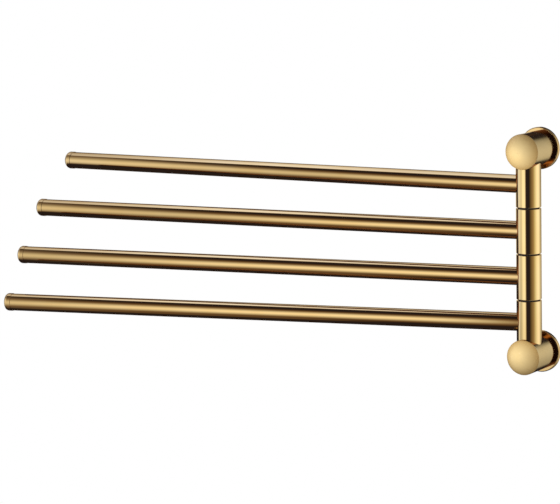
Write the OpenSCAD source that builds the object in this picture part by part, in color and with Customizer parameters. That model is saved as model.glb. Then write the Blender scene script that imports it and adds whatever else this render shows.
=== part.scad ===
// Wall-mounted towel holder: four round bars swing about one upright column
// Millimetres. The wall is the plane y = 0, the room is towards -Y and +Z is up.
// The origin is on the wall, midway between the two posts.

/* [Column] */
// Outside diameter of the sleeves
sleeve_d = 20; // [18:0.5:23]
// Height of one sleeve with one washer
sleeve_pitch = 36.6; // [32:0.2:45]
// Rounding of the sleeves' end edges
sleeve_round = 0.5; // [0.3:0.1:0.8]
// Thickness of the washers between the sleeves
washer_t = 1; // [0.5:0.1:1.5]
// Width of the dark groove that the washers leave
washer_inset = 1.5; // [0.8:0.1:1.8]
// Diameter of the pivot rod
rod_d = 8; // [6:0.5:9]
// Length of rod held in each post
rod_hold = 10.5; // [9:0.5:13]
// Outside diameter of the bushes
bush_d = 12; // [11:0.25:14]
// Length of the bushes
bush_l = 9; // [6:0.5:12]

/* [Bars] */
// Distance from the column's axis to a bar's tip
bar_reach = 457; // [200:1:600]
// Outside diameter of the bars
bar_d = 14.4; // [12:0.2:17]
// Wall thickness of the bars
bar_wall = 1; // [0.8:0.1:1.5]
// Turn of the top bar away from the wall
bar_1_turn = -1.4; // [-1.4:0.1:180]
// Turn of the second bar away from the wall
bar_2_turn = 4.4; // [-1.4:0.1:180]
// Turn of the third bar away from the wall
bar_3_turn = 8.8; // [-1.4:0.1:180]
// Turn of the bottom bar away from the wall
bar_4_turn = 12.4; // [-1.4:0.1:180]
// Length of the spigot's body inside the bar
spigot_l = 14; // [10:1:25]
// Diameter of the spigot's tenon in the sleeve
tenon_d = 6; // [5:0.5:8]
// Part of the sleeve's wall that the tenon leaves free
tenon_short = 0.6; // [0.4:0.1:1]

/* [End caps] */
// Radius of an end cap's crowned face
cap_crown_r = 13; // [10:0.5:30]
// Rounding between the crown and the cap's round rim
cap_round = 3; // [1:0.2:4]
// Length of an end cap's round rim
cap_rim_l = 3.25; // [1.5:0.25:4]
// Step of the rim over the bar
cap_step = 0.3; // [0.2:0.1:0.8]
// Depth of the end cap's plug in the bar
cap_plug_l = 8; // [5:0.5:15]
// Wall thickness of the end cap's plug
cap_plug_wall = 1.5; // [1:0.25:2.5]

/* [Posts] */
// Distance from the wall to the column's axis
axis_out = 22; // [21:0.2:30]
// Diameter of the posts
post_d = 28; // [26.5:0.5:30]
// Length of a post's straight side in front of the column's axis
post_front = 11.2; // [11:0.2:16]
// Radius of a post's domed front
post_crown_r = 17; // [15.5:0.5:40]
// Rounding between the dome and the post's side
post_round = 2.5; // [0.5:0.25:5]
// Depth that the column sinks into a post
seat_depth = 6.2; // [4.5:0.1:7.5]
// Diameter of the hollow at the post's back
hollow_d = 25; // [24:0.5:25.5]
// Depth of the hollow at the post's back
hollow_l = 2.5; // [1.5:0.25:3]

/* [Flanges and wall plates] */
// Diameter of the flanges
flange_d = 33.6; // [33.2:0.2:45]
// Thickness of the flanges
flange_t = 3.2; // [3.1:0.1:5]
// Wall thickness of the flanges
flange_wall = 1; // [0.8:0.1:1.1]
// Rounding of the flanges' front edge
flange_round = 0.8; // [0.4:0.1:1]
// Thickness of the wall plates
plate_t = 2; // [1.8:0.1:2.1]
// Diameter of the stub that carries a post
stub_d = 11; // [9:0.5:11]
// Length of the stub in front of the wall plate
stub_l = 10; // [9:0.5:11]
// Distance of the locking groove from the plate
groove_at = 6; // [5.5:0.25:6.5]
// Depth of the locking groove
groove_depth = 0.8; // [0.4:0.1:1.2]
// Diameter of the wall screw holes
wall_hole_d = 4.5; // [4.3:0.1:4.5]
// Diameter of their countersinks
wall_head_d = 7.8; // [7:0.2:7.8]
// Distance of the wall screw holes from the post's axis
wall_hole_out = 9.5; // [9.5:0.1:9.9]

/* [Grub screws] */
// Diameter of the grub screws
grub_d = 4; // [3:0.5:5]
// Hexagon socket across its flats
grub_socket = 2; // [1.3:0.1:2.2]
// Depth of the socket
grub_socket_l = 1; // [0.6:0.1:1.2]
// Distance of a grub screw's outer end below its hole's mouth
grub_sink = 0.8; // [0.4:0.1:1.2]

/* [Fits] */
// Gap all round the rod in the bushes and washers
running_gap = 0.05; // [0.02:0.01:0.1]
// Gap all round the sleeves in the posts
seat_gap = 0.3; // [0.3:0.05:0.6]
// Gap between pieces that are pressed or screwed together
close_gap = 0.02; // [0.01:0.01:0.05]
// Gap between the wall plate and the flange around it
plate_gap = 0.3; // [0.2:0.05:0.6]

/* [Hidden] */

$fn = 96;
// Length by which a cut passes the surface that it opens
cut_over = 1;
// Bevel on pins, plugs and other small edges
small_bevel = 0.3;
up = 1;
down = -1;

bar_turns = [bar_1_turn, bar_2_turn, bar_3_turn, bar_4_turn];
bars = len(bar_turns);
sleeve_h = sleeve_pitch - washer_t;
// Height of the seat floors above and below the middle of the column
seat_floor = (bars * sleeve_pitch + washer_t) / 2;
post_z = seat_floor + post_d / 2 - seat_depth;
rod_hole_d = rod_d + 2 * close_gap;
// Room left past the ends of the rod and of the stubs
end_room = 0.5;

bar_bore = bar_d - 2 * bar_wall;
plug_d = bar_bore - 2 * close_gap;
cap_r = bar_d / 2 + cap_step;
// Distance from the column's axis to the end of the tube
bar_end = bar_reach - crown_h(cap_r, cap_crown_r, cap_round) - cap_rim_l;
tenon_end = bush_d / 2 + tenon_short;

// Lengths measured out from a post's back face, which rests on the wall plate
post_edge = axis_out + post_front - plate_t;
stub_hole_l = stub_l + end_room;
stub_hole_d = stub_d + 2 * close_gap;
// Distance from the wall to the near side of the rod
rod_near = axis_out - rod_d / 2;

gold = [0.86, 0.70, 0.42];
steel = [0.72, 0.73, 0.75];
black = [0.08, 0.08, 0.09];
nylon = [0.90, 0.89, 0.85];

function bar_z(n) = ((bars + 1) / 2 - n) * sleeve_pitch;
function washer_z(n) = (bars / 2 + 1 - n) * sleeve_pitch;
// Distance of a crown's centre below the circle that its edge rounding follows
function crown_drop(r, crown_r, rounding) = sqrt(pow(crown_r - rounding, 2) - pow(r - rounding, 2));
// Height of a crown and its edge rounding
function crown_h(r, crown_r, rounding) = crown_r - crown_drop(r, crown_r, rounding);

// Axes: along a post from the wall, and along a bar from the column
module from_wall(out, z) {
    translate([0, -out, z]) rotate([90, 0, 0]) children();
}

module on_column(z) {
    translate([0, -axis_out, z]) children();
}

module on_arm(n) {
    on_column(bar_z(n)) rotate([0, 0, bar_turns[n - 1]]) children();
}

module along_bar() {
    rotate([0, -90, 0]) children();
}

// Half section of a rod from y = 0 to y = l with a bevel at both ends
module bevelled_section(r, l, bevel) {
    polygon([[0, 0], [r - bevel, 0], [r, bevel], [r, l - bevel], [r - bevel, l], [0, l]]);
}

// Half section of a disc from y = 0 to y = l with its outer far edge rounded
module round_edge_section(r, l, rounding) {
    square([r - rounding, l]);
    square([r, l - rounding]);
    translate([r - rounding, l - rounding]) circle(rounding);
}

// Half section of a crowned face on y = 0, which runs into the side below through a round edge
module crown_section(r, crown_r, rounding) {
    drop = crown_drop(r, crown_r, rounding);
    turn_side = (r - rounding) / (crown_r - rounding);
    turn_up = drop / (crown_r - rounding);
    translate([r - rounding, 0]) intersection() {
        circle(rounding);
        square(rounding);
    }
    intersection() {
        translate([0, -drop]) circle(crown_r);
        polygon([
            [0, 0], [r - rounding, 0],
            [r - rounding + turn_side * rounding, turn_up * rounding],
            [r - rounding + turn_side * 2 * rounding, turn_up * 2 * rounding],
            [0, crown_r]
        ]);
    }
}

// Posts
module post_section() {
    difference() {
        union() {
            square([post_d / 2, post_edge]);
            translate([0, post_edge]) crown_section(post_d / 2, post_crown_r, post_round);
        }
        translate([-cut_over, -cut_over]) square([hollow_d / 2 + cut_over, hollow_l + cut_over]);
        translate([-cut_over, -cut_over])
            square([stub_hole_d / 2 + cut_over, stub_hole_l + cut_over]);
    }
}

// Seat for the end sleeve, with the blind hole for the rod
module column_seat(side) {
    on_column(side * (seat_floor - seat_depth - cut_over)) mirror([0, 0, side == up ? 0 : 1])
        cylinder(d = sleeve_d + 2 * seat_gap, h = seat_depth + cut_over);
    on_column(side * (seat_floor - cut_over)) mirror([0, 0, side == up ? 0 : 1])
        cylinder(d = rod_hole_d, h = rod_hold + end_room + cut_over);
}

module post(side) {
    color(gold) difference() {
        from_wall(plate_t, side * post_z) rotate_extrude() post_section();
        column_seat(side);
        post_screw_place(side) translate([0, 0, -cut_over])
            cylinder(d = grub_d + 2 * close_gap, h = post_d / 2 + cut_over);
        rod_screw_place(side) translate([0, 0, -cut_over])
            cylinder(d = grub_d + 2 * close_gap, h = rod_near - plate_t - stub_hole_l + 2 * cut_over);
    }
}

// Grub screws, placed with +Z from the mouth of the hole inwards
module post_screw_place(side) {
    translate([0, -plate_t - groove_at, side * post_z - post_d / 2]) children();
}

module rod_screw_place(side) {
    from_wall(plate_t + stub_hole_l, side * post_z) children();
}

module grub_screw(l) {
    color(steel) difference() {
        rotate_extrude() bevelled_section(grub_d / 2, l, small_bevel);
        translate([0, 0, -cut_over])
            cylinder(d = grub_socket / cos(30), h = grub_socket_l + cut_over, $fn = 6);
    }
}

module post_screw(side) {
    post_screw_place(side) translate([0, 0, grub_sink])
        grub_screw(post_d / 2 - stub_d / 2 + groove_depth - close_gap - grub_sink);
}

module rod_screw(side) {
    rod_screw_place(side) translate([0, 0, grub_sink])
        grub_screw(rod_near - plate_t - stub_hole_l - close_gap - grub_sink);
}

// Flanges and wall plates
module flange(side) {
    color(gold) from_wall(0, side * post_z) rotate_extrude() difference() {
        round_edge_section(flange_d / 2, flange_t, flange_round);
        translate([-cut_over, -cut_over])
            square([flange_d / 2 - flange_wall + cut_over, flange_t - flange_wall + cut_over]);
        translate([-cut_over, 0]) square([post_d / 2 + close_gap + cut_over, flange_t + cut_over]);
    }
}

module plate_section() {
    bevelled_section(flange_d / 2 - flange_wall - plate_gap, plate_t, small_bevel);
    difference() {
        translate([0, plate_t - small_bevel])
            bevelled_section(stub_d / 2, stub_l + small_bevel, small_bevel);
        translate([stub_d / 2 - groove_depth, plate_t + groove_at - grub_d / 2 - close_gap])
            square([groove_depth + cut_over, grub_d + 2 * close_gap]);
    }
}

module wall_plate(side) {
    head_h = (wall_head_d - wall_hole_d) / 2;
    color(steel) from_wall(0, side * post_z) difference() {
        rotate_extrude() plate_section();
        for (x = [-wall_hole_out, wall_hole_out]) translate([x, 0, 0]) {
            translate([0, 0, -cut_over]) cylinder(d = wall_hole_d, h = plate_t + 2 * cut_over);
            translate([0, 0, plate_t - head_h])
                cylinder(d1 = wall_hole_d, d2 = wall_head_d, h = head_h);
        }
    }
}

// Pivot
module pivot_rod() {
    rod_l = 2 * (seat_floor + rod_hold);
    color(steel) on_column(-rod_l / 2) rotate_extrude() bevelled_section(rod_d / 2, rod_l, small_bevel);
}

module washer(n) {
    color(black) on_column(washer_z(n) - washer_t / 2) difference() {
        cylinder(d = sleeve_d - 2 * washer_inset, h = washer_t);
        translate([0, 0, -cut_over])
            cylinder(d = rod_d + 2 * running_gap, h = washer_t + 2 * cut_over);
    }
}

module sleeve(n) {
    color(gold) on_arm(n) difference() {
        rotate_extrude() difference() {
            union() {
                round_edge_section(sleeve_d / 2, sleeve_h / 2, sleeve_round);
                mirror([0, 1]) round_edge_section(sleeve_d / 2, sleeve_h / 2, sleeve_round);
            }
            translate([0, -sleeve_h]) square([bush_d / 2 + close_gap, 2 * sleeve_h]);
        }
        along_bar() cylinder(d = tenon_d + 2 * close_gap, h = sleeve_d);
    }
}

// side is up for the bush at the sleeve's top and down for the one below
module bush(n, side) {
    color(nylon) on_arm(n) mirror([0, 0, side == up ? 0 : 1])
        translate([0, 0, sleeve_h / 2 - bush_l]) difference() {
            rotate_extrude() bevelled_section(bush_d / 2, bush_l, small_bevel);
            translate([0, 0, -cut_over])
                cylinder(d = rod_d + 2 * running_gap, h = bush_l + 2 * cut_over);
        }
}

// The end of a bar or spigot follows the sleeve's round side
module cope() {
    cylinder(d = sleeve_d + 2 * close_gap, h = 2 * bar_d, center = true);
}

module bar(n) {
    color(gold) on_arm(n) difference() {
        along_bar() rotate_extrude() translate([bar_bore / 2, 0]) square([bar_wall, bar_end]);
        cope();
    }
}

module spigot(n) {
    color(steel) on_arm(n) {
        difference() {
            along_bar() rotate_extrude()
                bevelled_section(plug_d / 2, sleeve_d / 2 + spigot_l, small_bevel);
            cope();
        }
        along_bar() translate([0, 0, tenon_end])
            cylinder(d = tenon_d, h = sleeve_d / 2 + spigot_l / 2 - tenon_end);
    }
}

module end_cap_section() {
    difference() {
        union() {
            bevelled_section(cap_r, cap_rim_l + small_bevel / 2, small_bevel / 2);
            translate([0, cap_rim_l]) crown_section(cap_r, cap_crown_r, cap_round);
            translate([0, -cap_plug_l]) bevelled_section(plug_d / 2, cap_plug_l + cap_rim_l / 2, small_bevel);
        }
        translate([0, -cap_plug_l - cut_over])
            square([plug_d / 2 - cap_plug_wall, cap_plug_l + cut_over]);
    }
}

module end_cap(n) {
    color(gold) on_arm(n) along_bar() translate([0, 0, bar_end]) rotate_extrude() end_cap_section();
}

// Wall side and pivot
post(up);  // upper_post
post(down);  // lower_post
flange(up);  // upper_flange
flange(down);  // lower_flange
wall_plate(up);  // upper_wall_plate
wall_plate(down);  // lower_wall_plate
post_screw(up);  // upper_post_screw
post_screw(down);  // lower_post_screw
pivot_rod();
rod_screw(up);  // upper_rod_screw
rod_screw(down);  // lower_rod_screw
washer(1);  // washer_1
washer(2);  // washer_2
washer(3);  // washer_3
washer(4);  // washer_4
washer(5);  // washer_5

// Arms, counted from the top
sleeve(1);  // sleeve_1
bar(1);  // bar_1
spigot(1);  // spigot_1
end_cap(1);  // end_cap_1
bush(1, up);  // upper_bush_1
bush(1, down);  // lower_bush_1
sleeve(2);  // sleeve_2
bar(2);  // bar_2
spigot(2);  // spigot_2
end_cap(2);  // end_cap_2
bush(2, up);  // upper_bush_2
bush(2, down);  // lower_bush_2
sleeve(3);  // sleeve_3
bar(3);  // bar_3
spigot(3);  // spigot_3
end_cap(3);  // end_cap_3
bush(3, up);  // upper_bush_3
bush(3, down);  // lower_bush_3
sleeve(4);  // sleeve_4
bar(4);  // bar_4
spigot(4);  // spigot_4
end_cap(4);  // end_cap_4
bush(4, up);  // upper_bush_4
bush(4, down);  // lower_bush_4
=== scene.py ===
"""Looks of a towel holder: four round gold bars that swing on a column between two domed wall posts.

Metres, in the frame of the CAD part: the wall is the plane y = 0, the room is towards -Y, Z is up,
and the bars point towards -X. Colours are shares of red, green and blue.
"""

import math

import bmesh
import bpy
from mathutils import Matrix, Vector

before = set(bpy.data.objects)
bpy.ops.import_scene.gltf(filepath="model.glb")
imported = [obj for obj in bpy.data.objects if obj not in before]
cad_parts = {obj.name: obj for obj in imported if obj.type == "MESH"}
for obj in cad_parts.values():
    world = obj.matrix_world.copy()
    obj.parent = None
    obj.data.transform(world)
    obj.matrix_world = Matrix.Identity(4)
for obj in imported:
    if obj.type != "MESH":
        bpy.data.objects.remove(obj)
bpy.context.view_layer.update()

MM = 0.001
WHITE = (1.0, 1.0, 1.0, 1.0)

# How far above and below the middle the wall posts' axes lie, their radius, and where their
# sides turn into their domes
POST_Z = 81.5 * MM
POST_R = 14.0 * MM
DOME_EDGE_Y = -33.3 * MM

# The number of each arm, and the angle of its bar to -X in degrees
BAR_TURNS = {1: -1.4, 2: 4.4, 3: 8.8, 4: 12.4}
WASHERS = range(1, 6)


# Nodes

def feed(tree, socket, value):
    """Gives an input a number, a colour or another node's output."""
    if isinstance(value, bpy.types.NodeSocket):
        tree.links.new(value, socket)
    else:
        socket.default_value = value


def add(tree, kind, inputs=None, **settings):
    """A new node of that kind, with its inputs fed."""
    node = tree.nodes.new(kind)
    for name, value in settings.items():
        setattr(node, name, value)
    for name, value in (inputs or {}).items():
        feed(tree, node.inputs[name], value)
    return node


def calc(tree, operation, *values):
    """The output of a Math node."""
    return add(tree, "ShaderNodeMath", dict(enumerate(values)), operation=operation).outputs[0]


def vector_calc(tree, operation, *values):
    """The outputs of a Vector Math node: the vector first, and the number as "Value"."""
    return add(tree, "ShaderNodeVectorMath", dict(enumerate(values)), operation=operation).outputs


def product(tree, *values):
    """All the values multiplied."""
    found = values[0]
    for value in values[1:]:
        found = calc(tree, "MULTIPLY", found, value)
    return found


def even(tree, value, start, end):
    """In a straight line from 0, where the value is at start, to 1, where it is at end."""
    inputs = {"Value": value, "From Min": start, "From Max": end}
    return add(tree, "ShaderNodeMapRange", inputs).outputs["Result"]


def rising(tree, value, start, end, low=0.0, high=1.0):
    """Smoothly from low, where the value is at start, to high, where it is at end."""
    inputs = {"Value": value, "From Min": start, "From Max": end, "To Min": low, "To Max": high}
    node = add(tree, "ShaderNodeMapRange", inputs, interpolation_type="SMOOTHSTEP")
    return node.outputs["Result"]


def falling(tree, value, start, end, low=0.0, high=1.0):
    """Smoothly from high, where the value is at start, to low, where it is at end."""
    return rising(tree, value, start, end, high, low)


def bell(tree, value, middle, width):
    """1 where the value is at the middle, and exp(-1) one width away from it."""
    off = calc(tree, "DIVIDE", calc(tree, "SUBTRACT", value, middle), width)
    return calc(tree, "EXPONENT", product(tree, off, off, -1.0))


def mixed(tree, share, a, b):
    """The colour a where the share is 0, and b where it is 1."""
    factor, first, second, result = 0, 6, 7, 2
    inputs = {factor: share, first: a, second: b}
    return add(tree, "ShaderNodeMix", inputs, data_type="RGBA").outputs[result]


def bumped(tree, height, strength, distance):
    """The normal that a height gives."""
    inputs = {"Height": height, "Strength": strength, "Distance": distance}
    return add(tree, "ShaderNodeBump", inputs).outputs["Normal"]


def new_material(name):
    """A material with an empty tree."""
    made = bpy.data.materials.new(name)
    made.use_nodes = True
    made.node_tree.nodes.clear()
    return made


def put_out(material, surface):
    """Makes a shader the surface of a material."""
    out = add(material.node_tree, "ShaderNodeOutputMaterial")
    material.node_tree.links.new(surface, out.inputs["Surface"])


def put_in_scene(name, data):
    """A new object with that data, in the scene."""
    made = bpy.data.objects.new(name, data)
    bpy.context.scene.collection.objects.link(made)
    return made


def mesh_in_scene(name, mesh, material):
    """A new object from a bmesh, which ends here, with that material."""
    data = bpy.data.meshes.new(name)
    mesh.to_mesh(data)
    mesh.free()
    data.materials.append(material)
    return put_in_scene(name, data)


# Camera: its turns are to the side, down and about its line of sight, in radians

CAMERA_PLACE = (0.8312, -1.7324, 0.2859)
CAMERA_TURNS = (0.5556, 0.1472, -0.0211)
CAMERA_LENS = 156.12
CAMERA_REACH = (0.05, 60.0)


def place_camera():
    """The photograph's view: from the right and above, with a long lens."""
    yaw, pitch, roll = CAMERA_TURNS
    ahead = math.cos(pitch)
    back = Vector((math.sin(yaw) * ahead, -math.cos(yaw) * ahead, math.sin(pitch)))
    level = Vector((math.cos(yaw), math.sin(yaw), 0.0))
    upright = back.cross(level)
    right = level * math.cos(roll) + upright * math.sin(roll)
    up = upright * math.cos(roll) - level * math.sin(roll)
    turned = Matrix((right, up, back)).transposed().to_4x4()

    data = bpy.data.cameras.new("camera")
    data.lens = CAMERA_LENS
    data.clip_start, data.clip_end = CAMERA_REACH
    camera = put_in_scene("camera", data)
    camera.matrix_world = Matrix.Translation(CAMERA_PLACE) @ turned
    bpy.context.scene.camera = camera


# Room: MATT_LIGHT is how strongly it lights matt surfaces, where polished ones see it at 1

MATT_LIGHT = 0.38
LAMP_PLACE = (-0.065, -0.22, 0.01)
LAMP_POWER = 1.95
LAMP_R = 0.07
FLOOR_Z = -1.75
FLOOR_SIZE = 20.0


def light_room():
    """A plain white room, and a soft lamp close in front that only matt and satin surfaces show."""
    world = bpy.data.worlds.new("white_room")
    bpy.context.scene.world = world
    world.use_nodes = True
    world.cycles.sampling_method = "NONE"
    tree = world.node_tree
    matt_ray = add(tree, "ShaderNodeLightPath").outputs["Is Diffuse Ray"]
    background = tree.nodes["Background"].inputs
    feed(tree, background["Color"], WHITE)
    feed(tree, background["Strength"], falling(tree, matt_ray, 0.0, 1.0, MATT_LIGHT))

    data = bpy.data.lights.new("lamp", "POINT")
    data.energy = LAMP_POWER
    data.shadow_soft_size = LAMP_R
    lamp = put_in_scene("lamp", data)
    lamp.location = LAMP_PLACE
    lamp.visible_camera = lamp.visible_glossy = False


def lay_floor():
    """A plain white floor far below, as under a thing on a wall. It is clear from below."""
    paint = new_material("floor_white")
    tree = paint.node_tree
    matt = add(tree, "ShaderNodeBsdfDiffuse", {"Color": WHITE}).outputs[0]
    bright = add(tree, "ShaderNodeEmission", {"Color": WHITE, "Strength": 1.0}).outputs[0]
    ray = add(tree, "ShaderNodeLightPath").outputs
    seen = calc(tree, "MAXIMUM", ray["Is Camera Ray"], ray["Is Glossy Ray"])
    lit = add(tree, "ShaderNodeMixShader", {0: seen, 1: matt, 2: bright}).outputs[0]
    clear = add(tree, "ShaderNodeBsdfTransparent").outputs[0]
    below = add(tree, "ShaderNodeNewGeometry").outputs["Backfacing"]
    put_out(paint, add(tree, "ShaderNodeMixShader", {0: below, 1: lit, 2: clear}).outputs[0])

    mesh = bmesh.new()
    bmesh.ops.create_grid(mesh, x_segments=1, y_segments=1, size=FLOOR_SIZE)
    bmesh.ops.translate(mesh, vec=(0.0, 0.0, FLOOR_Z), verts=mesh.verts)
    floor = mesh_in_scene("floor", mesh, paint)


# Tent: an egg round the holder that only gloss sees. Its cloth is dark, and lets the white room
# through in soft boxes, which give the metal the streaks of the photograph. A way from the tent's
# middle has an x, from -1 at the left end to 1 at the right, and three angles in degrees: side
# (0 in front, 90 to the right), height (90 overhead), and over (0 in front, 90 overhead,
# 180 behind, and negative underneath).

TENT_SIZE = (0.9, 0.7, 0.55)
TENT_MIDDLE = (-0.4, 0.0, 0.0)
DARK_CLOTH = (0.02, 0.016, 0.025)

# The share of the tent's light that is left where one piece mirrors another, and the further
# share that is left there of other_lights
SEEN_TWICE = (0.37, 0.26, 0.3, 1.0)
OTHERS_SEEN_TWICE = 0.25


def tinted(tree, level, green, blue):
    """A grey level as a colour, with its green and blue drawn in or raised."""
    parts = {0: level, 1: product(tree, level, green), 2: product(tree, level, blue)}
    return add(tree, "ShaderNodeCombineXYZ", parts).outputs[0]


def tent_way(tree):
    """Where a point of the tent lies, seen from its middle as if it were a ball of radius 1."""
    place = add(tree, "ShaderNodeTexCoord").outputs["Object"]
    from_middle = vector_calc(tree, "SUBTRACT", place, TENT_MIDDLE)[0]
    drawn_in = vector_calc(tree, "DIVIDE", from_middle, TENT_SIZE)[0]
    return vector_calc(tree, "NORMALIZE", drawn_in)[0]


def front_light(tree, x, side, over):
    """The long soft box in front: tall to the left, narrow to the right, with a fold between.

    A second part of it lies at the far left, and a dim one low down.
    """
    lean = even(tree, x, 0.25, -0.42)
    middle = calc(tree, "MULTIPLY_ADD", calc(tree, "POWER", lean, 4.0), 12.5, -7.0)
    width = calc(tree, "MULTIPLY_ADD", calc(tree, "POWER", lean, 2.5), 22.0, 30.0)
    fold = calc(tree, "SUBTRACT", 1.0, product(tree, bell(tree, x, -0.24, 0.17), 0.25))
    foot_start = rising(tree, x, -0.34, -0.2, -62.0, -80.0)
    foot_end = rising(tree, x, -0.5, -0.2, -28.0, -58.0)
    long_box = product(
        tree,
        rising(tree, x, -0.5, 0.16, 0.87, 1.1),
        bell(tree, over, middle, width),
        fold,
        rising(tree, over, foot_start, foot_end),
        falling(tree, x, 0.3, 0.5),
    )
    far_left = product(
        tree,
        falling(tree, x, -0.68, -0.58, 0.0, 0.8),
        falling(tree, over, 20.0, 60.0),
    )
    left_end = rising(tree, side, -94.0, -64.0)
    box = product(tree, calc(tree, "MAXIMUM", long_box, far_left), left_end)
    low_box = product(
        tree,
        rising(tree, x, -0.36, -0.2, 0.0, 0.13),
        falling(tree, x, 0.1, 0.28),
        falling(tree, over, -52.0, -40.0),
        rising(tree, over, -78.0, -64.0),
    )
    level = calc(tree, "MAXIMUM", box, low_box)
    dim_green = rising(tree, x, -0.3, -0.12, 0.8, 0.66)
    dim_blue = rising(tree, x, -0.3, -0.12, 0.75, 0.45)
    green = product(
        tree,
        rising(tree, level, 0.05, 0.55, dim_green, 1.0),
        falling(tree, x, -0.7, -0.45, 1.0, 1.06),
    )
    blue = product(
        tree,
        rising(tree, level, 0.05, 0.6, dim_blue, 1.0),
        falling(tree, x, -0.7, -0.45, 1.0, 1.28),
    )
    return tinted(tree, level, green, blue)


def right_light(tree, side, height):
    """The soft box to the right and behind, which fades towards the front."""
    fade = calc(tree, "MAXIMUM", rising(tree, side, 52.0, 109.0), even(tree, side, 47.0, 132.0))
    leaning = calc(tree, "SUBTRACT", side, falling(tree, height, -20.0, 15.0, 0.0, 6.0))
    level = product(
        tree,
        fade,
        falling(tree, side, 110.0, 132.0, 0.56, 1.13),
        falling(tree, leaning, 134.5, 144.0),
        bell(tree, height, -2.0, 50.0),
        rising(tree, height, -70.0, -40.0),
    )
    green = product(
        tree,
        rising(tree, fade, 0.2, 0.6, 0.73, 0.97),
        rising(tree, side, 100.0, 132.0, 1.0, 1.05),
    )
    blue = product(
        tree,
        rising(tree, fade, 0.15, 0.95, 0.42, 0.97),
        rising(tree, side, 95.0, 132.0, 1.0, 1.12),
    )
    return tinted(tree, level, green, blue)


def top_light(tree, x, over):
    """The soft box overhead, with a straight front edge."""
    level = product(
        tree,
        rising(tree, over, 73.0, 84.5, 0.0, 1.05),
        falling(tree, over, 84.0, 93.0, 0.88, 1.0),
        falling(tree, over, 95.0, 155.0, 0.12, 1.0),
        falling(tree, over, 133.0, 150.0),
        rising(tree, x, -0.55, -0.12, 0.53, 1.0),
        falling(tree, x, -0.14, 0.02, 0.88, 1.0),
        falling(tree, x, 0.12, 0.42),
    )
    green = product(tree, calc(tree, "POWER", level, 0.17), 1.16)
    blue = product(tree, calc(tree, "POWER", level, 0.4), 1.74)
    return tinted(tree, level, green, blue)


def other_lights(tree, x, over, twice):
    """A soft box behind and one low on the right, for the views that the photograph doesn't show."""
    behind = product(
        tree,
        rising(tree, calc(tree, "ABSOLUTE", over), 156.0, 166.0, 0.0, 0.65),
        rising(tree, x, -0.8, -0.5),
        falling(tree, x, 0.38, 0.52),
    )
    low = product(
        tree,
        rising(tree, x, 0.5, 0.62, 0.0, 0.4),
        rising(tree, over, -112.0, -96.0),
        falling(tree, over, -56.0, -42.0),
    )
    share = falling(tree, twice, 0.0, 1.0, OTHERS_SEEN_TWICE)
    level = product(tree, calc(tree, "MAXIMUM", behind, low), share)
    return tinted(tree, level, 0.98, 0.94)


def tent_colour(tree):
    """How much of the white room each part of the tent lets through."""
    x, y, z = add(tree, "ShaderNodeSeparateXYZ", {0: tent_way(tree)}).outputs
    front = calc(tree, "MULTIPLY", y, -1.0)
    side = calc(tree, "DEGREES", calc(tree, "ARCTAN2", x, front))
    height = calc(tree, "DEGREES", calc(tree, "ARCSINE", z))
    over = calc(tree, "DEGREES", calc(tree, "ARCTAN2", z, front))
    bounces = add(tree, "ShaderNodeLightPath").outputs["Glossy Depth"]
    twice = rising(tree, bounces, 1.0, 2.0)
    colour = DARK_CLOTH
    for box in (
        front_light(tree, x, side, over),
        right_light(tree, side, height),
        top_light(tree, x, over),
        other_lights(tree, x, over, twice),
    ):
        colour = vector_calc(tree, "MAXIMUM", box, colour)[0]
    return vector_calc(tree, "MULTIPLY", colour, mixed(tree, twice, WHITE, SEEN_TWICE))[0]


def hang_tent():
    """The tent as an object."""
    cloth = new_material("tent_cloth")
    tree = cloth.node_tree
    see_through = add(tree, "ShaderNodeBsdfTransparent", {"Color": tent_colour(tree)})
    put_out(cloth, see_through.outputs["BSDF"])

    mesh = bmesh.new()
    bmesh.ops.create_icosphere(mesh, subdivisions=5, radius=1.0)
    bmesh.ops.scale(mesh, vec=TENT_SIZE, verts=mesh.verts)
    bmesh.ops.translate(mesh, vec=TENT_MIDDLE, verts=mesh.verts)
    tent = mesh_in_scene("tent", mesh, cloth)
    tent.visible_camera = tent.visible_diffuse = tent.visible_shadow = False
    tent.visible_transmission = tent.visible_volume_scatter = False


# Wear: node groups that several finishes share

def new_group(name, inputs, outputs):
    """A node group with float or vector inputs and float outputs, and its ends."""
    group = bpy.data.node_groups.new(name, "ShaderNodeTree")
    for label, (kind, value) in inputs.items():
        socket = group.interface.new_socket(label, in_out="INPUT", socket_type=kind)
        if value is not None:
            socket.default_value = value
    for label in outputs:
        group.interface.new_socket(label, in_out="OUTPUT", socket_type="NodeSocketFloat")
    given = group.nodes.new("NodeGroupInput").outputs
    out = group.nodes.new("NodeGroupOutput").inputs
    return group, given, out


def make_haze():
    """Faint clouds of handling on a clean face, as a mask and a roughness."""
    group, given, out = new_group(
        "handling_haze",
        {
            "Vector": ("NodeSocketVector", None),
            "Scale": ("NodeSocketFloat", 30.0),
            "Clean Roughness": ("NodeSocketFloat", 0.1),
            "Hazed Roughness": ("NodeSocketFloat", 0.16),
        },
        ["Roughness", "Haze"],
    )
    noise = add(
        group,
        "ShaderNodeTexNoise",
        {"Vector": given["Vector"], "Scale": given["Scale"], "Detail": 5.0, "Roughness": 0.55},
    )
    mask = rising(group, noise.outputs["Fac"], 0.38, 0.72)
    clean, hazed = given["Clean Roughness"], given["Hazed Roughness"]
    feed(group, out["Haze"], mask)
    feed(group, out["Roughness"], rising(group, mask, 0.0, 1.0, clean, hazed))
    return group


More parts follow.
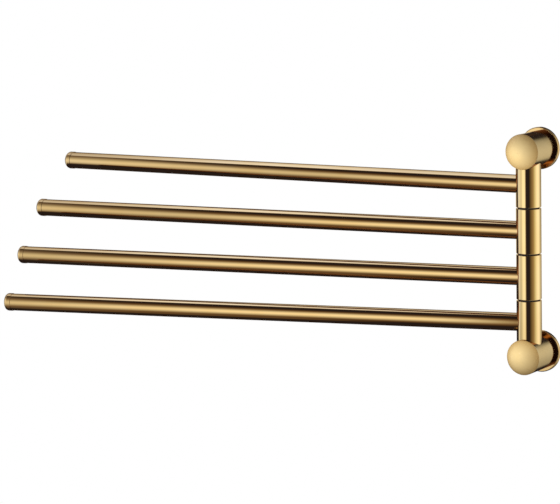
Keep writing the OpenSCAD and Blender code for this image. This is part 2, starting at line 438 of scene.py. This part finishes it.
def make_turning():
    """Fine rings of a lathe or polishing wheel, as a height, from the distance along the axis."""
    group, given, out = new_group(
        "turning_lines",
        {"Along": ("NodeSocketFloat", 0.0), "Pitch": ("NodeSocketFloat", 0.0004)},
        ["Height"],
    )
    step = calc(group, "DIVIDE", given["Along"], given["Pitch"])
    noise = add(
        group,
        "ShaderNodeTexNoise",
        {"W": step, "Scale": 1.0, "Detail": 2.0, "Roughness": 0.6},
        noise_dimensions="1D",
    )
    feed(group, out["Height"], noise.outputs["Fac"])
    return group


def make_edge_rub():
    """Where an edge is rubbed, as a mask, from how far a wide bevel would turn the surface."""
    group, given, out = new_group("edge_rub", {"Width": ("NodeSocketFloat", 0.0006)}, ["Edge"])
    bevel = add(group, "ShaderNodeBevel", {"Radius": given["Width"]}, samples=4)
    normal = add(group, "ShaderNodeNewGeometry").outputs["Normal"]
    same = vector_calc(group, "DOT_PRODUCT", bevel.outputs["Normal"], normal)["Value"]
    feed(group, out["Edge"], falling(group, same, 0.86, 0.995))
    return group


HAZE = make_haze()
TURNING = make_turning()
EDGE_RUB = make_edge_rub()


def use(tree, group, **inputs):
    """Places a group, with underscores for the blanks in its inputs' names."""
    node = add(tree, "ShaderNodeGroup", node_tree=group)
    for name, value in inputs.items():
        feed(tree, node.inputs[name.replace("_", " ")], value)
    return node.outputs


# Finishes

GOLD = (0.9, 0.63, 0.276)
GOLD_PALE = (1.0, 0.75, 0.35)
GOLD_SATIN = (1.0, 0.76, 0.365)

# What haze and rubbed edges leave of a gold, the painted shade at a dome's rim, and how fast it
# deepens
GOLD_HAZED = (0.985, 0.95, 0.88)
GOLD_RUBBED = (1.0, 1.06, 1.3)
GOLD_RIM_SHADE = (0.68, 0.57, 0.41)
RIM_SHADE_POWER = 3.0

# Where a dome's satin starts to give way to polish, where it has ended, and the satin itself
SATIN_FULL_Y = DOME_EDGE_Y - 0.35 * MM
SATIN_END_Y = DOME_EDGE_Y + 0.05 * MM
SATIN_ROUGHNESS = 0.55
SATIN_METALLIC = 0.35

LACQUER = {
    "Specular Tint": (1.0, 0.86, 0.62, 1.0),
    "Coat Weight": 0.1,
    "Coat Roughness": 0.04,
    "Coat IOR": 1.5,
}

PLATE_ZINC = (0.7, 0.71, 0.72)
ROD_STEEL = (0.72, 0.73, 0.75)
SCREW_OXIDE = (0.35, 0.35, 0.36)
STEEL_HAZED = (0.82, 0.82, 0.82)
STEEL_RUBBED = (0.86, 0.86, 0.87)

# The washers' black is partly their plastic and partly painted shade: it is made near-black so the
# thin seams between the sleeves show as dark as their shade
WASHER_BLACK_AND_SHADE = (0.012, 0.011, 0.011)
WASHER_WORN = (0.04, 0.038, 0.037)
BUSH_NYLON = (0.8, 0.79, 0.75)
BUSH_WORN = (0.7, 0.68, 0.62)

# How much of an edge's rubbing shows on each material
RUB_ON_GOLD = 0.35
RUB_ON_STEEL = 0.5
RUB_ON_PLASTIC = 0.5


def shade(colour, parts=(1.0, 1.0, 1.0)):
    """A colour with its red, green and blue multiplied by those parts."""
    return (*(value * part for value, part in zip(colour, parts)), 1.0)


def principled(material, inputs):
    """The material, ended in a Principled shader with those inputs."""
    shader = add(material.node_tree, "ShaderNodeBsdfPrincipled", inputs)
    put_out(material, shader.outputs["BSDF"])
    return material


def axis_place(tree, turn):
    """Object coordinates turned so that a bar's axis is X, and their parts."""
    place = add(tree, "ShaderNodeTexCoord").outputs["Object"]
    inputs = {"Vector": place, "Rotation": (0.0, 0.0, -math.radians(turn))}
    turned = add(tree, "ShaderNodeMapping", inputs).outputs["Vector"]
    return turned, add(tree, "ShaderNodeSeparateXYZ", {0: turned}).outputs


def rim_share(tree, parts):
    """How far out a place is from the axis of its wall post: 0 on it, and 1 at the post's side."""
    x = parts["X"]
    up = calc(tree, "SUBTRACT", calc(tree, "ABSOLUTE", parts["Z"]), POST_Z)
    squares = calc(tree, "ADD", product(tree, up, up), product(tree, x, x))
    share = calc(tree, "DIVIDE", calc(tree, "SQRT", squares), POST_R)
    return calc(tree, "MINIMUM", share, 1.0)


def make_gold(name, axis, turn=0.0, tone=GOLD, clean=0.03, hazed=0.06, lines=0.08, domed=False):
    """Lacquered gold over brass: polished, with turning lines round its axis, haze and rubbed edges.

    A domed piece is satin on its dome, with painted shade that darkens it towards the dome's rim.
    """
    material = new_material(name)
    tree = material.node_tree
    place, parts = axis_place(tree, turn)
    along = parts["XYZ".index(axis)]
    haze = use(tree, HAZE, Vector=place, Scale=28.0, Clean_Roughness=clean, Hazed_Roughness=hazed)
    edge = use(tree, EDGE_RUB, Width=0.5 * MM)["Edge"]
    height = use(tree, TURNING, Along=along, Pitch=0.35 * MM)["Height"]
    colour = mixed(tree, haze["Haze"], shade(tone), shade(tone, GOLD_HAZED))
    roughness = haze["Roughness"]
    metallic = 1.0
    if domed:
        satin = falling(tree, along, SATIN_FULL_Y, SATIN_END_Y)
        roughness = calc(tree, "MAXIMUM", roughness, product(tree, satin, SATIN_ROUGHNESS))
        metallic = falling(tree, satin, 0.0, 1.0, SATIN_METALLIC, 1.0)
        # Painted shade: the dome's colour deepens towards its rim, where its light falls off
        rim_shade = product(tree, satin, calc(tree, "POWER", rim_share(tree, parts), RIM_SHADE_POWER))
        colour = mixed(tree, rim_shade, colour, shade(tone, GOLD_RIM_SHADE))
    rubbed = product(tree, edge, RUB_ON_GOLD)
    inputs = {
        "Base Color": mixed(tree, rubbed, colour, shade(tone, GOLD_RUBBED)),
        "Metallic": metallic,
        "Roughness": roughness,
        "Normal": bumped(tree, height, strength=lines, distance=0.01 * MM),
    }
    return principled(material, inputs | LACQUER)


def make_steel(name, colour, clean, hazed, axis="Z"):
    """Ground, zinc-plated or blackened steel, with turning lines, haze and rubbed edges."""
    material = new_material(name)
    tree = material.node_tree
    place, parts = axis_place(tree, 0.0)
    along = parts["XYZ".index(axis)]
    haze = use(tree, HAZE, Vector=place, Scale=60.0, Clean_Roughness=clean, Hazed_Roughness=hazed)
    edge = use(tree, EDGE_RUB, Width=0.4 * MM)["Edge"]
    height = use(tree, TURNING, Along=along, Pitch=0.25 * MM)["Height"]
    tone = mixed(tree, haze["Haze"], shade(colour), shade(colour, STEEL_HAZED))
    rubbed = product(tree, edge, RUB_ON_STEEL)
    inputs = {
        "Base Color": mixed(tree, rubbed, tone, shade(STEEL_RUBBED)),
        "Metallic": 1.0,
        "Roughness": haze["Roughness"],
        "Normal": bumped(tree, height, strength=0.35, distance=0.02 * MM),
    }
    return principled(material, inputs)


def make_plastic(name, colour, worn, clean, hazed):
    """Moulded plastic with a fine grain, worn to another colour on its edges and in its haze."""
    material = new_material(name)
    tree = material.node_tree
    place = add(tree, "ShaderNodeTexCoord").outputs["Object"]
    haze = use(tree, HAZE, Vector=place, Scale=180.0, Clean_Roughness=clean, Hazed_Roughness=hazed)
    edge = use(tree, EDGE_RUB, Width=0.3 * MM)["Edge"]
    grain = add(tree, "ShaderNodeTexNoise", {"Vector": place, "Scale": 2500.0, "Detail": 3.0})
    tone = mixed(tree, product(tree, haze["Haze"], 0.5), shade(colour), shade(worn))
    rubbed = product(tree, edge, RUB_ON_PLASTIC)
    inputs = {
        "Base Color": mixed(tree, rubbed, tone, shade(worn)),
        "Roughness": haze["Roughness"],
        "Normal": bumped(tree, grain.outputs["Fac"], strength=0.3, distance=0.02 * MM),
    }
    return principled(material, inputs)


def dress(names, material):
    """Gives CAD nodes a finish."""
    for name in names:
        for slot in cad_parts[name].material_slots:
            slot.material = material


def both(name):
    """The names of an upper and a lower node."""
    return ["upper_" + name, "lower_" + name]


def each(name, numbers=BAR_TURNS):
    """The names of numbered nodes, by default one for each arm."""
    return ["%s_%d" % (name, n) for n in numbers]


def finish_parts():
    """Gives every CAD node its finish."""
    post = make_gold("post_gold", "Y", tone=GOLD_SATIN, clean=0.12, hazed=0.2, domed=True)
    dress(both("post"), post)
    dress(both("flange"), make_gold("flange_gold", "Y", clean=0.05, hazed=0.09))
    dress(each("sleeve"), make_gold("sleeve_gold", "Z", tone=GOLD_PALE))
    for n, turn in BAR_TURNS.items():
        dress(["bar_%d" % n], make_gold("bar_gold_%d" % n, "X", turn, lines=0.03))
        dress(["end_cap_%d" % n], make_gold("cap_gold_%d" % n, "X", turn))

    plate = make_steel("plate_zinc", PLATE_ZINC, clean=0.28, hazed=0.42, axis="Y")
    dress(both("wall_plate"), plate)
    rod = make_steel("rod_ground", ROD_STEEL, clean=0.18, hazed=0.3)
    dress(["pivot_rod"] + each("spigot"), rod)
    screw = make_steel("screw_oxide", SCREW_OXIDE, clean=0.3, hazed=0.45)
    dress(both("post_screw") + both("rod_screw"), screw)

    black = make_plastic("washer_black", WASHER_BLACK_AND_SHADE, WASHER_WORN, clean=0.55, hazed=0.7)
    dress(each("washer", WASHERS), black)
    nylon = make_plastic("bush_nylon", BUSH_NYLON, BUSH_WORN, clean=0.4, hazed=0.55)
    dress(each("upper_bush") + each("lower_bush"), nylon)


bpy.context.scene.view_settings.view_transform = "Standard"
place_camera()
light_room()
hang_tent()
lay_floor()
finish_parts()
